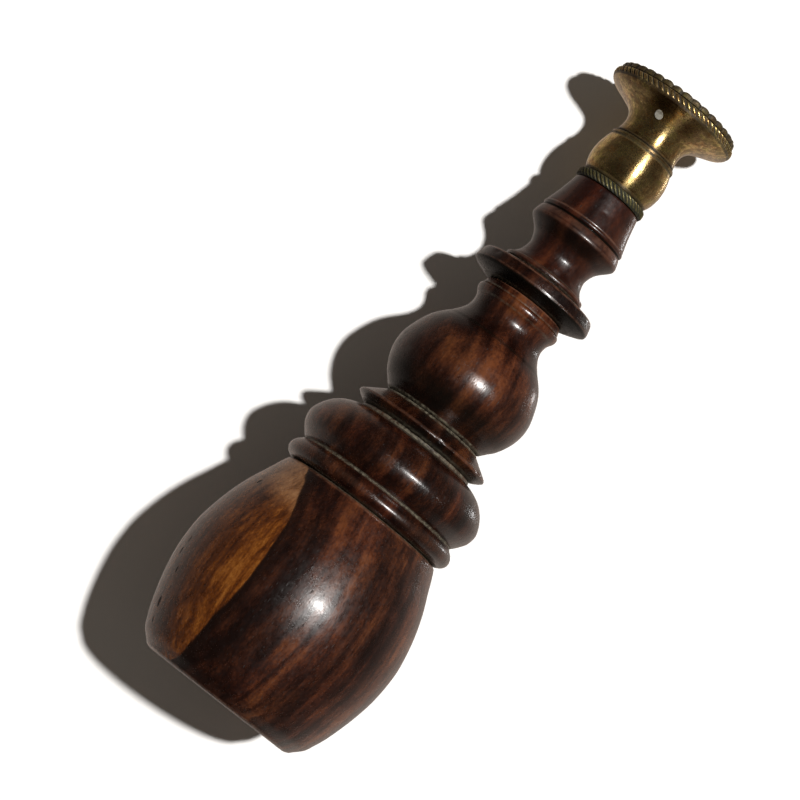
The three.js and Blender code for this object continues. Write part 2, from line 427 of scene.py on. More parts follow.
    def finish(self, shader, kind="ShaderNodeOutputMaterial"):
        self.links.new(shader, self.new(kind).inputs[0])


def new_material(name):
    mat = bpy.data.materials.new(name)
    mat.use_nodes = True
    return mat, Tree(mat.node_tree)


# ------------------------------------------------------------------ rosewood
GROWTH = (-0.940, -0.342)   # direction in which the tree grew, across the barrel
SAP_AT = 12.35              # distance of the sapwood boundary from the axis
PITH_R = 75.0               # radius of the growth ring at that boundary
# growth layers across the barrel, from the pith side to the bark side: (mm along GROWTH, tone)
LAYERS = (
    (-17.0, 0.60), (-11.5, 0.62), (-9.0, 0.50), (-7.6, 0.46), (-6.7, 0.12), (-5.8, 0.42),
    (-4.6, 0.56), (-3.0, 0.46), (-1.2, 0.28), (0.8, 0.30), (2.6, 0.54), (4.4, 0.52),
    (6.4, 0.32), (8.2, 0.58), (9.6, 0.30), (10.6, 0.10), (12.6, 0.08),
)
# colours by tone: (tone, linear RGB)
HEARTWOOD = (
    (0.24, (0.0062, 0.0020, 0.0013)),
    (0.38, (0.0135, 0.0038, 0.0020)),
    (0.50, (0.0270, 0.0078, 0.0036)),
    (0.62, (0.0560, 0.0165, 0.0064)),
    (0.80, (0.1180, 0.0380, 0.0120)),
)
SAPWOOD = (
    (0.22, (0.0250, 0.0068, 0.0022)),
    (0.38, (0.0560, 0.0145, 0.0030)),
    (0.52, (0.0980, 0.0260, 0.0038)),
    (0.66, (0.1600, 0.0480, 0.0066)),
    (0.82, (0.2500, 0.0900, 0.0160)),
)
PALE_SAPWOOD = ((0.25, (0.095, 0.040, 0.014)), (0.5, (0.190, 0.085, 0.033)),
                (0.8, (0.300, 0.155, 0.070)))
OLD_WAX = ((0.3, (0.046, 0.040, 0.026)), (0.55, (0.104, 0.090, 0.062)),
           (0.75, (0.190, 0.166, 0.118)))
VEIN_COLOUR = (0.0062, 0.0022, 0.0014)
RIM_COLOUR = (0.0075, 0.0030, 0.0020)
PORE_COLOUR = (0.0050, 0.0022, 0.0014)
HOLE_COLOUR = (0.0040, 0.0022, 0.0016)
# paler, redder edges: rubbed polish and painted edge highlights
WORN_AND_LIT_EDGE_COLOUR = (0.150, 0.068, 0.040)
SHADE_COLOUR = (0.0040, 0.0036, 0.0026)


def barrel_layers(tree, ring, broad):
    """Tone of the measured growth layers, with the broad streaks over it."""
    lo, hi = LAYERS[0][0], LAYERS[-1][0]
    place = tree.span(tree.add(ring, SAP_AT), lo, hi, smooth=False)
    stops = [((at - lo) / (hi - lo), (tone, tone, tone)) for at, tone in LAYERS]
    layer = tree.ramp(place, stops, "B_SPLINE")
    return tree.mul_add(tree.xyz(layer)[0], 0.42, tree.mul_add(broad, 0.6, 0.02))


def add_sapwood(tree, pos, col, growth, seed, fibre, fleck, mottle):
    """Orange-brown sapwood beyond the boundary, over the heartwood colour."""
    x, y, z = tree.xyz(pos) if not isinstance(pos, tuple) else pos[1]
    pos = pos if not isinstance(pos, tuple) else pos[0]
    edge = tree.grain(pos, (0.35, 0.35, 0.09), detail=2.0, rough=0.5)
    depth = tree.add(tree.mul_add(x, growth[0], tree.mul(y, growth[1])),
                     tree.mul_add(edge, 0.9, -0.45 - SAP_AT))
    # the boundary moves inwards by up to 0.95 mm over the lowest 9 mm
    depth = tree.add(depth, tree.span(z, 9.0, 0.0, 0.0, 0.95))
    sap = tree.span(depth, -0.14, 0.20)
    streak = tree.grain(pos, (1.1, 1.1, 0.045), (seed, 0, 0))
    tone = tree.layered(((streak, 1.0), (fibre, 0.45), (fleck, 0.6), (mottle, 0.45)))
    # orange-brown next to the boundary, browner and darker outwards and at the foot
    tone = tree.add(tone, tree.span(depth, 0.3, 4.2, 0.06, -0.09))
    tone = tree.add(tone, tree.span(z, 10.0, 2.0, 0.0, -0.06))
    sap_col = tree.ramp(tone, SAPWOOD)
    # paler towards the collar
    pale = tree.mul(tree.span(tree.mul_add(mottle, 5.0, z), 27.6, 33.6), 0.85)
    sap_col = tree.mix(pale, sap_col, tree.ramp(tone, PALE_SAPWOOD))
    col = tree.mix(sap, col, sap_col)
    # the heartwood is at its darkest just inside the boundary
    rim = tree.mul(tree.span(depth, -1.9, -0.2), tree.span(depth, 0.0, 0.12, 1.0, 0.0))
    return tree.mix(tree.mul(rim, 0.70), col, RIM_COLOUR)


def open_pores(tree, pos, patch, seed):
    """Short dashes along the grain: large ones in patches and small ones everywhere."""
    shift = (seed * 1.3, seed, 0.3 * seed)
    large = tree.span(tree.cells(pos, (0.95, 0.95, 0.26), shift), 0.075, 0.12, 1.0, 0.0)
    large = tree.mul(large, tree.span(patch, 0.46, 0.60, 0.0, 0.8))
    small = tree.span(tree.cells(pos, (2.6, 2.6, 0.42)), 0.10, 0.17, 1.0, 0.0)
    return tree.max(large, tree.mul(small, 0.55))


def hole_mask(tree, pos, holes):
    masks = []
    for *centre, size in holes:
        offset = tree.vec("SUBTRACT", pos, tuple(centre))
        away = tree.vec("LENGTH", tree.vec("MULTIPLY", offset, (1.0, 1.0, 0.42)))
        masks.append(tree.span(away, size, size * 1.5, 1.0, 0.0))
    return reduce(tree.max, masks)


def rosewood(name, seed, growth, sapwood=False, grime=(), worn_and_lit=(), shade=(), patches=(), holes=(),
             dark=1.0, redness=0.5, warp=1.0, gloss=0.25, contrast=1.0, tint=None):
    """Polished rosewood with its grain along z.
    grime, worn_and_lit: bands of (z, half height, amount), old wax and dust in the joints, and
    paler edges, partly rubbed polish and partly painted edge highlights
    shade: painted shade, dark dull bands of (z, half height, softness, amount), on undersides, in
    grooves and in a crease
    patches: (centre, half sizes, change of tone); holes: (x, y, z, radius)
    dark scales the colours, warp the waviness, and gloss is the base roughness."""
    mat, tree = new_material(name)
    pos = tree.object_mm()
    x, y, z = tree.xyz(pos)
    # slow waviness of the fibres
    slow = tree.grain(pos, (0.05, 0.05, 0.03), (seed, seed * 1.7, 0),
                      detail=2.0, rough=0.5, color=True)
    wave = tree.vec("SCALE", tree.vec("SUBTRACT", slow, (0.5, 0.5, 0.5)), scale=2.6 * warp)
    wave_x, wave_y, _ = tree.xyz(wave)
    # growth rings round a distant pith; ring > 0 beyond the sapwood boundary
    ring_x = tree.add(tree.add(x, wave_x), growth[0] * (PITH_R - SAP_AT))
    ring_y = tree.add(tree.add(y, wave_y), growth[1] * (PITH_R - SAP_AT))
    squares = tree.add(tree.mul(ring_x, ring_x), tree.mul(ring_y, ring_y))
    ring = tree.sub(tree.math("SQRT", squares), PITH_R)
    across = tree.add(tree.mul(x, -growth[1]), tree.mul(y, growth[0]))

    def streaks(per_ring, per_across, per_z, shift, rough=0.5):
        """Noise drawn out along the axis, in features per mm."""
        along = tree.add(tree.mul(z, per_z), shift)
        place = tree.join(tree.mul(ring, per_ring), tree.mul(across, per_across), along)
        return tree.noise(place, detail=2.0, rough=rough)

    broad = streaks(per_ring=0.17, per_across=0.05, per_z=0.012, shift=seed * 3.1)
    if sapwood:
        broad = barrel_layers(tree, ring, broad)
    medium = streaks(per_ring=0.62, per_across=0.12, per_z=0.028, shift=seed * 5.3, rough=0.55)
    fine = tree.grain(tree.vec("ADD", pos, wave), (1.9, 1.9, 0.075), (seed, 3 * seed, seed))
    fibre = tree.grain(pos, (7.0, 7.0, 0.40), (seed, 0, 0), detail=2.0)
    fleck = tree.grain(pos, (3.2, 3.2, 1.7), (0, seed, 0), rough=0.65)
    mottle = tree.grain(pos, (0.42, 0.42, 0.20), detail=2.0, rough=0.5)
    tone = tree.layered(((broad, 1.05), (medium, 0.95), (fine, 0.30), (fibre, 0.24),
                         (fleck, 0.50), (mottle, 0.65)), contrast)
    for centre, half, change in patches:
        away = tree.ellipsoid(tree.vec("ADD", pos, wave), centre, half)
        tone = tree.add(tone, tree.span(away, 0.2, 1.3, change, 0.0))
    col = tree.ramp(tone, [(at, tuple(c * dark for c in rgb)) for at, rgb in HEARTWOOD])
    if tint:
        col = tree.multiply(col, tint)
    # near-black veins along some growth layers
    vein = streaks(per_ring=0.9, per_across=0.08, per_z=0.018, shift=seed * 7.7)
    vein = tree.span(tree.apart(vein, 0.5), 0.0, 0.045, 1.0, 0.0)
    vein = tree.mul(vein, tree.span(broad, 0.42, 0.6, 0.75, 0.10))
    col = tree.mix(tree.mul(vein, 0.6), col, VEIN_COLOUR)
    # reddish and brownish drift
    red = tree.grain(pos, (0.12, 0.12, 0.05), detail=2.0, rough=0.5)
    col = tree.tinge(tree.mul(tree.span(red, 0.42, 0.66), redness), col, (1.18, 0.80, 0.92))
    if sapwood:
        col = add_sapwood(tree, (pos, (x, y, z)), col, growth, seed, fibre, fleck, mottle)

    patch = tree.grain(pos, (0.18, 0.18, 0.10), detail=1.0, rough=0.5)
    pores = open_pores(tree, pos, patch, seed)
    col = tree.mix(tree.mul(pores, 0.75), col, PORE_COLOUR)
    if holes:
        hole = hole_mask(tree, pos, holes)
        col = tree.mix(hole, col, HOLE_COLOUR)
        pores = tree.max(pores, hole)
    # paler, redder edges: rubbed polish, and painted edge highlights where an edge catches the
    # light
    if worn_and_lit:
        rubbed = tree.grain(pos, (0.9, 0.9, 0.9))
    for centre, half, amount in worn_and_lit:
        wear_and_highlight = tree.mul(tree.band(z, centre, half, half * 1.4),
                        tree.span(rubbed, 0.36, 0.6, 0.35, 1.0))
        col = tree.mix(tree.mul(wear_and_highlight, amount), col, WORN_AND_LIT_EDGE_COLOUR)
    # painted shade: bands darkened towards near black, with their shine cut
    shine, dulled = 1.0, []
    for centre, half, soft, amount in shade:
        dulled.append(tree.mul(tree.band(z, centre, half, soft), amount))
        col = tree.mix(dulled[-1], col, SHADE_COLOUR)
    rough = tree.mixf(tree.span(tree.grain(pos, (1.3, 1.3, 0.9), rough=0.65), 0.30, 0.70),
                      gloss - 0.03, gloss + 0.07)
    # old wax and dust packed into the joints
    if grime:
        dust = tree.grain(pos, (2.2, 2.2, 2.2))
        masks = []
        for centre, half, amount in grime:
            mask = tree.mul(tree.band(z, centre, half * 0.6, half * 0.8),
                            tree.span(dust, 0.38, 0.58, 0.32, 1.0))
            masks.append(tree.mul(mask, amount))
        mask = reduce(tree.max, masks)
        col = tree.mix(mask, col, tree.ramp(dust, OLD_WAX))
        rough = tree.mixf(mask, rough, 0.75)
    rough = tree.mixf(tree.mul(pores, 0.9), rough, 0.9)
    if dulled:
        shine = tree.sub(1.0, tree.mul(reduce(tree.max, dulled), 0.93))
    # scratches: thin, nearly straight lines, in patches
    bent = tree.vec("ADD", pos, tree.vec("SCALE", slow, scale=4.0))
    scratch = tree.grain(bent, (1.1, 1.1, 9.0), detail=1.0, rough=0.4)
    scratch = tree.span(tree.apart(scratch, 0.5), 0.0, 0.012, 1.0, 0.0)
    scratch = tree.mul(scratch, tree.span(patch, 0.5, 0.62))
    height = tree.mul_add(pores, -0.22, tree.mul(fibre, 0.30))
    height = tree.mul_add(scratch, -0.12, height)
    height = tree.mul_add(tree.grain(pos, (3.2, 3.2, 2.2)), 0.42, height)
    tree.principled(
        Base_Color=col, Roughness=rough, IOR=1.5,
        Normal=tree.bump(height, strength=0.55, distance=0.00006),
        Specular_IOR_Level=tree.mul(shine, 0.43),
        Coat_Weight=tree.mul(shine, 0.13), Coat_Roughness=0.11, Coat_IOR=1.45)
    return mat


# ------------------------------------------------------------------ brass and silver
# brown stains: patina, and painted dark reflection beside the highlights
STAIN_AND_SHADE_COLOUR = (0.070, 0.034, 0.013)
SPOT_COLOUR = (0.045, 0.032, 0.016)


def brass(name, seed, patina, base=(0.78, 0.555, 0.245), dark=(0.175, 0.113, 0.050), rough=0.25,
          grime=(), stains_and_shade=(), green=0.0, turned_marks=0.94, cords=None, lobes=None,
          soil_and_shade=(0.020, 0.017, 0.009)):
    """Aged brass, going from base to dark with patina; green is the share of soil all over.
    grime: bands of (z, half height, amount), joint soiling and one painted shadow line;
    stains_and_shade: brown (centre, half sizes, amount), patina and painted dark reflection
    cords: soiling in slanted milling; lobes: soiling between scallops; soil_and_shade: colour of
    the soiling and of the painted shade turned_marks is the anisotropy of the lathe marks."""
    mat, tree = new_material(name)
    pos = tree.object_mm()
    x, y, z = tree.xyz(pos)
    cloud = tree.grain(pos, (0.30, 0.30, 0.30), (seed, 0, 0), detail=4.0, rough=0.62)
    blotch = tree.grain(pos, (1.4, 1.4, 1.4), (0, seed, 0))
    streak = tree.grain(pos, (2.6, 2.6, 0.7), (seed, seed, 0), rough=0.65)
    aged = tree.mul_add(streak, 0.36, tree.mul_add(blotch, 0.34, tree.mul(cloud, 0.50)))
    aged = tree.span(aged, 0.46, 0.68)
    col = tree.mix(tree.mul(aged, patina), base, dark)
    # drift to greenish, reddish and yellowish
    tint = tree.grain(pos, (0.16, 0.16, 0.22), detail=2.0, rough=0.5)
    col = tree.tinge(tree.span(tint, 0.4, 0.66, 0.0, 0.35), col, (0.86, 1.0, 0.80))
    red = tree.grain(pos, (0.9, 0.9, 0.9), (seed, 7.0, 3.0))
    col = tree.tinge(tree.span(red, 0.50, 0.68, 0.0, 0.75), col, (0.86, 0.66, 0.52))
    col = tree.tinge(tree.span(red, 0.50, 0.32, 0.0, 0.80), col, (1.00, 1.12, 0.84))
    # small dark spots where it is cloudy
    spots = tree.span(tree.cells(pos, (0.9, 0.9, 0.9)), 0.06, 0.14, 1.0, 0.0)
    spots = tree.mul(spots, tree.span(cloud, 0.48, 0.6))
    col = tree.mix(tree.mul(spots, 0.7), col, SPOT_COLOUR)
    grainy = tree.grain(pos, (6.0, 6.0, 6.0), rough=0.65)
    # brown stains: patina, and on the front beside the highlights painted dark reflection
    for centre, half, amount in stains_and_shade:
        away = tree.ellipsoid(pos, centre, half)
        away = tree.mul_add(tree.sub(blotch, 0.5), 1.2, away)
        col = tree.mix(tree.span(away, 0.3, 1.25, amount, 0.0), col, STAIN_AND_SHADE_COLOUR)
    speck = tree.span(grainy, 0.34, 0.66, 0.74, 1.30)
    col = tree.multiply(col, tree.join(speck, speck, speck))

    # dirt, and painted shade in some bands: in the spots, in bands, all over, and in the grooves
    dust = tree.grain(pos, (2.4, 2.4, 2.4))
    mask = tree.mul(spots, 0.6)
    for centre, half, amount in grime:
        darkening = tree.mul(tree.band(z, centre, half * 0.5, half),
                        tree.span(dust, 0.3, 0.55, 0.5, 1.0))
        mask = tree.max(mask, tree.mul(darkening, amount))
    if green:
        mask = tree.max(mask, tree.mul(tree.span(dust, 0.30, 0.62), green))
    if cords or lobes:
        turn = tree.math("ARCTAN2", y, x)
        radius = tree.math("SQRT", tree.mul_add(x, x, tree.mul(y, y)))

    def milled_zone():
        r_min = cords["r_min"]
        return tree.mul(tree.band(z, cords["mid"], cords["half"], 0.08),
                        tree.span(radius, r_min - 0.1, r_min))

    if cords:
        climb = tree.mul(tree.sub(z, cords["mid"]), cords["slant"])
        phase = tree.mul_add(turn, cords["count"] / TAU, climb)
        ridge = tree.math("ABSOLUTE", tree.math("SINE", tree.mul(phase, math.pi)))
        groove = tree.mul(tree.span(ridge, 0.34, 0.84, 1.0, 0.0), milled_zone())
        mask = tree.max(mask, tree.mul(groove, cords["amount"]))
    if lobes:
        r_min = lobes["r_min"]
        ridge = tree.math("ABSOLUTE", tree.math("COSINE", tree.mul(turn, lobes["count"] / 2.0)))
        groove = tree.mul(tree.span(ridge, 0.30, 0.98, 1.0, 0.55),
                          tree.span(radius, r_min - 0.3, r_min + 0.3))
        darkening = tree.mul(tree.span(streak, 0.35, 0.6, 0.6, 1.0), lobes["amount"])
        mask = tree.max(mask, tree.mul(groove, darkening))
    soil_and_shade_ramp = [(at, tuple(c * k for c in soil_and_shade)) for at, k in ((0.3, 1.0), (0.6, 2.0), (0.8, 3.6))]
    col = tree.mix(mask, col, tree.ramp(dust, soil_and_shade_ramp))

    # turning marks: fine rings, with rubbed scratches along the body
    rings = tree.noise(tree.join(tree.mul(x, 0.05), tree.mul(y, 0.05), tree.mul(z, 11.0)),
                       detail=2.0)
    rub = tree.grain(pos, (7.0, 7.0, 0.7), detail=2.0)
    height = tree.mul_add(rings, 0.40, tree.mul_add(rub, 0.26, tree.mul(grainy, 0.42)))
    height = tree.mul_add(spots, -0.6, height)
    normal = tree.bump(height, strength=0.5, distance=0.00004)
    rough = tree.add(rough, tree.mul(aged, 0.10))
    rough = tree.add(rough, tree.mul(tree.sub(blotch, 0.5), 0.15))
    rough = tree.add(rough, tree.mul(tree.sub(grainy, 0.5), 0.55))
    rough = tree.mixf(mask, rough, 0.72)
    metal = tree.mixf(mask, tree.mixf(aged, 0.985, 0.935), 0.25)
    marks = turned_marks
    if cords:
        # milling has no turning marks
        zone = milled_zone()
        marks = tree.mixf(zone, turned_marks, 0.0)
        rough = tree.mixf(zone, rough, tree.mul(rough, 0.92))
    tangent = tree.new("ShaderNodeTangent", direction_type="RADIAL", axis="Z")
    tree.principled(Base_Color=col, Metallic=metal, Roughness=rough, Normal=normal,
                    Anisotropic=marks, Anisotropic_Rotation=0.25, Tangent=tangent.outputs[0])
    return mat


def silver(name):
    mat, tree = new_material(name)
    pos = tree.object_mm()
    col = tree.ramp(tree.grain(pos, (2.2, 2.2, 2.2)), [
        (0.3, (0.36, 0.34, 0.29)), (0.5, (0.55, 0.53, 0.46)), (0.7, (0.68, 0.66, 0.60))])
    height = tree.grain(pos, (9.0, 2.0, 9.0), detail=2.0)
    tree.principled(Base_Color=col, Metallic=0.35, Roughness=0.48,
                    Normal=tree.bump(height, strength=0.4, distance=0.00003))
    return mat


# ------------------------------------------------------------------ the pieces
# Outlines are (radius, z) or (radius, z, fillet), going up the outside.
def piece(ob, mat, body, node):
    ob.data.materials.append(mat)
    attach(ob, body)
    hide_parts(node)


# the barrel, with a blind bore in its top
piece(
    turned("barrel_body", [
        (0, 0.22), (0.5, 0.14), (1.1, 0.0, 0.1), (12.2, 0.0, 0.35), (12.92, 0.32, 0.12),
        (13.23, 0.66), (14.53, 2.0), (15.23, 3.43), (15.84, 4.87), (16.75, 7.74), (17.48, 10.61),
        (18.0, 13.49), (18.2, 16.3), (18.13, 19.25), (17.66, 22.13), (16.96, 25.02),
        (15.98, 27.92), (14.71, 30.81), (13.72, 33.1), (13.28, 33.98, 0.14),
        (12.6, BARREL_TOP, 0.1), (7.75, BARREL_TOP, 0.25), (7.55, 33.7, 0.1), (7.5, 33.4),
        (7.5, 26.9, 0.2), (7.1, 26.2, 0.2), (0, 26.1),
    ], segments=256, step=0.22, shape=wobble(11, 0.035, r_min=8.5, dented=dents(
        6, 8, (1, 30), depth=0.03, width=0.8, height=0.9))),
    rosewood(
        "barrel_rosewood", 2.0, GROWTH, sapwood=True, gloss=0.275, dark=0.95, redness=0.30,
        contrast=0.88, grime=((34.15, 0.16, 0.75),),
        worn_and_lit=((0.12, 0.16, 0.45), (33.95, 0.16, 0.45)),
        patches=(((0.0, -12.0, 2.0), (18.0, 10.0, 4.5), -0.06),
                 ((2.0, -15.0, 29.0), (6.0, 8.0, 5.0), 0.02),
                 ((-8.0, -15.0, 16.0), (3.5, 8.0, 12.0), 0.04),
                 ((6.5, -16.0, 14.0), (3.0, 8.0, 12.0), -0.04)),
        holes=((-14.34, -6.81, 28.17, 0.20), (-17.04, -6.34, 15.68, 0.17),
               (-17.04, -5.87, 13.7, 0.20), (-15.86, -7.6, 11.11, 0.18),
               (-15.02, -6.2, 6.03, 0.34), (-14.18, -5.62, 3.48, 0.18),
               (-16.6, -6.9, 21.4, 0.12), (-14.9, -7.9, 8.6, 0.12))),
    body="barrel", node="barrel")

# the threaded tenon in the barrel's bore
piece(
    turned("tenon_body", [
        (0, 27.4), (6.0, 27.4, 0.2), (6.9, 28.1, 0.1), (TENON_R, 28.3), (TENON_R, 35.2, 0.15),
        (TENON_R, 41.3, 0.2), (6.6, 41.6, 0.1), (0, 41.6),
    ], segments=160, step=0.16, shape=thread(TENON_R, depth=0.55, pitch=2.5, z0=28.0, z1=35.0)),
    rosewood("tenon_rosewood", 5.5, (0.6, 0.8), dark=0.9, gloss=0.42),
    body="tenon", node="barrel_tenon")

# the collar: a small bead under a large one
piece(
    turned("collar_body", [
        (7.15, COLLAR_BASE, 0.12), (12.7, COLLAR_BASE, 0.1), (13.35, 34.42, 0.08),
        (14.05, 34.85), (14.42, 35.4), (14.49, 35.89), (14.36, 36.4), (14.0, 36.95),
        (13.5, 37.4, 0.12), (13.19, 37.72, 0.1), (13.55, 38.05), (14.28, 38.94), (14.86, 39.82),
        (15.16, 41.13), (15.06, 41.95), (14.44, 43.31), (13.57, 44.48), (12.41, 45.45),
        (11.11, 46.08), (10.2, 46.36), (9.72, 46.5, 0.08), (9.58, COLLAR_TOP, 0.08),
        (4.65, COLLAR_TOP, 0.12), (4.65, 41.9, 0.1), (7.15, 41.9, 0.1),
    ], segments=240, step=0.18, closed=True, shape=wobble(21, 0.03, r_min=8.0, dented=dents(
        7, 9, (35, 46), depth=0.06, width=0.6, height=0.5))),
    rosewood(
        "collar_rosewood", 3.3, (-0.99, -0.16), redness=0.6, warp=0.8, dark=0.77, contrast=0.88,
        grime=((34.32, 0.12, 0.5), (37.68, 0.22, 0.8), (46.72, 0.46, 0.82)),
        worn_and_lit=((35.9, 0.3, 0.10),),
        patches=(((0.0, -13.0, 38.5), (16.0, 10.0, 1.8), -0.06),
                 ((0.0, -13.0, 34.8), (16.0, 10.0, 0.9), -0.07))),
    body="handle", node="lower_collar")

# the thin disc on the collar
piece(
    turned("disc_body", [
        (4.65, DISC_BASE, 0.1), (9.3, DISC_BASE, 0.08), (10.2, 47.42), (11.05, 47.95, 0.06),
        (11.33, 48.22, 0.08), (11.22, 48.55, 0.08), (10.4, 49.12), (9.3, 49.86),
        (8.35, 50.5, 0.08), (8.1, DISC_TOP, 0.06), (4.65, DISC_TOP, 0.1),
    ], segments=224, step=0.16, closed=True, shape=wobble(31, 0.03, r_min=6.0, dented=dents(
        9, 14, (47.8, 48.7), depth=0.16, width=0.55, height=0.3))),
    rosewood(
        "disc_rosewood", 4.1, (-0.95, 0.30), dark=0.66, redness=0.3,
        grime=((47.05, 0.30, 0.8), (50.75, 0.36, 0.98)), worn_and_lit=((48.42, 0.12, 0.20),),
        # painted shade on the disc's underside
        shade=((47.55, 0.35, 0.4, 0.4),)),
    body="handle", node="collar_disc")

# the ball and its neck
piece(
    turned("ball_body", [
        (0, 42.3), (4.5, 42.3, 0.15), (4.5, BALL_BASE, 0.05), (7.9, BALL_BASE, 0.06),
        (8.3, 51.03, 0.06), (8.75, 51.55), (9.16, 52.05), (9.89, 52.85), (10.62, 54.05),
        (11.16, 55.3), (11.5, 56.6), (11.6, 57.85), (11.5, 59.0), (11.21, 60.1), (10.85, 61.2),
        (10.46, 62.15), (10.05, 62.98), (9.52, 63.8), (8.82, 64.65), (7.95, 65.55, 0.25),
        (7.1, 66.6), (6.52, 67.6), (6.27, 68.6), (6.32, 69.35), (6.5, 69.95), (6.75, 70.35, 0.06),
        (6.98, 70.75), (7.06, 71.2), (6.98, 71.55), (6.74, 71.74, 0.08), (6.72, 71.86, 0.06),
        (6.46, 72.72, 0.07), (6.3, BALL_TOP, 0.06), (3.8, BALL_TOP, 0.12), (3.55, 72.6, 0.1),
        (3.55, 63.4, 0.1), (0, 63.4),
    ], segments=216, step=0.2, shape=wobble(41, 0.03, r_min=5.4, dented=dents(
        11, 8, (52, 71), depth=0.05, width=0.6, height=0.6))),
    rosewood(
        "ball_rosewood", 6.2, (-0.99, -0.14), redness=0.24, dark=0.98, warp=1.1, contrast=0.80,
        grime=((50.98, 0.24, 0.95), (70.35, 0.14, 0.25), (71.85, 0.12, 0.35)),
        # painted shade on the lower ball, and a dark line in the crease where the ball meets the
        # neck
        worn_and_lit=((72.86, 0.10, 0.7),), shade=((53.0, 0.8, 2.6, 0.60), (65.3, 0.08, 0.30, 0.55)),
        patches=(((-3.0, -9.5, 59.6), (8.0, 7.0, 4.6), 0.14),
                 ((0.5, -9.0, 53.6), (7.0, 12.0, 5.0), -0.17),
                 ((8.0, -8.0, 58.0), (3.5, 6.0, 7.0), -0.07),
                 ((0.0, 0.0, 65.7), (30.0, 30.0, 2.6), -0.17),
                 ((0.0, 0.0, 70.5), (20.0, 20.0, 2.6), 0.05))),
    body="handle", node="ball_neck")

# the flange on the neck
piece(
    turned("flange_body", [
        (3.55, FLANGE_BASE, 0.1), (6.2, FLANGE_BASE, 0.15), (6.9, 73.0), (8.4, 73.45),
        (9.75, 74.0, 0.08), (10.05, 74.22, 0.1), (10.06, 74.65, 0.1), (9.9, 75.3),
        (9.7, 75.98, 0.1), (9.5, 76.26, 0.1), (8.2, 76.58), (6.85, FLANGE_TOP, 0.06),
        (3.55, FLANGE_TOP, 0.1),
    ], segments=208, step=0.16, closed=True, shape=wobble(51, 0.03, r_min=5.0, dented=dents(
        13, 14, (74.1, 76.2), depth=0.12, width=0.5, height=0.3))),
    rosewood(
        "flange_rosewood", 7.4, (-0.90, -0.43), dark=0.42, redness=0.5, contrast=0.85,
        grime=((76.9, 0.2, 0.5), (73.0, 0.15, 0.4)),
        # painted shade on the flange's underside
        worn_and_lit=((76.15, 0.09, 0.5), (74.5, 0.08, 0.25)), shade=((73.3, 0.8, 0.45, 0.96),)),
    body="handle", node="flange")

# the waisted piece with a collar, and the cone above it
piece(
    turned("cone_body", [
        (0, 64.2), (3.4, 64.2, 0.15), (3.4, CONE_BASE, 0.05), (6.5, CONE_BASE, 0.08),
        (6.78, 77.2, 0.08), (6.82, 77.5), (6.72, 77.78, 0.06), (6.2, 77.92, 0.06), (6.0, 78.25),
        (5.55, 78.82), (5.24, 79.5), (5.03, 80.5), (5.06, 81.0), (5.3, 81.8), (5.56, 82.35),
        (6.0, 82.96), (6.58, 83.56), (7.12, 84.1), (7.4, 84.48), (7.46, 84.8), (7.38, 85.2),
        (7.22, 85.75), (7.08, 86.12, 0.08), (6.8, 86.36, 0.06), (6.93, 86.52, 0.06),
        (7.08, 86.72), (7.08, 86.92, 0.06), (6.98, 87.12, 0.06), (6.9, 87.22, 0.05),
        (6.9, 87.38, 0.05), (6.6, 88.35), (6.27, 89.5), (5.86, 91.25), (5.6, 92.5, 0.08),
        (5.5, CONE_TOP, 0.06), (3.2, CONE_TOP, 0.1), (3.05, 92.4, 0.1), (3.05, 83.8, 0.1),
        (0, 83.8),
    ], segments=200, step=0.18, shape=wobble(61, 0.025, r_min=4.4, dented=dents(
        15, 8, (77, 92), depth=0.05, width=0.5, height=0.5))),
    rosewood(
        "cone_rosewood", 8.8, (0.95, -0.31), redness=0.55, dark=0.69, contrast=0.60, gloss=0.30,
        tint=(1.02, 0.95, 1.04), grime=((77.0, 0.15, 0.5), (77.9, 0.12, 0.25)),
        worn_and_lit=((84.75, 0.14, 0.25), (85.7, 0.28, 0.30), (87.22, 0.08, 0.45), (77.6, 0.10, 0.25)),
        # painted shade in the groove at 86.36 and under the collar's bead at 83.6
        shade=((86.36, 0.12, 0.12, 0.9), (83.6, 0.5, 0.9, 0.55))),
    body="handle", node="cone_collar")

# the milled ring
RING_SLANT = slant_for(RING_CORDS, radius=5.8)
piece(
    turned("rope_ring", [
        (3.05, RING_BASE, 0.1), (5.45, RING_BASE, 0.08), (5.7, 92.9, 0.06), (5.84, 93.1),
        (RING_R, RING_MID), (5.84, 93.9), (5.7, 94.1, 0.06), (5.4, RING_TOP, 0.06),
        (3.05, RING_TOP, 0.1),
    ], segments=RING_CORDS * 12, step=0.11, closed=True,
        shape=rope(RING_CORDS, RING_MID, half=0.64, depth=0.26, slant=RING_SLANT, r_out=RING_R)),
    brass(
        "milled_dark_brass", 3.0, patina=0.6, base=(0.29, 0.240, 0.106),
        dark=(0.034, 0.032, 0.017), rough=0.30, green=0.64, turned_marks=0.2,
        # the band at 92.86 is painted shadow, a black line where the ring meets the cone; the one
        # at 94.12 is joint soiling
        soil_and_shade=(0.004, 0.0050, 0.0034), grime=((92.86, 0.34, 0.96), (94.12, 0.12, 0.7)),
        cords=dict(count=RING_CORDS, mid=RING_MID, half=0.62, slant=RING_SLANT, r_min=5.35,
                   amount=0.99)),
    body="handle", node="milled_ring")

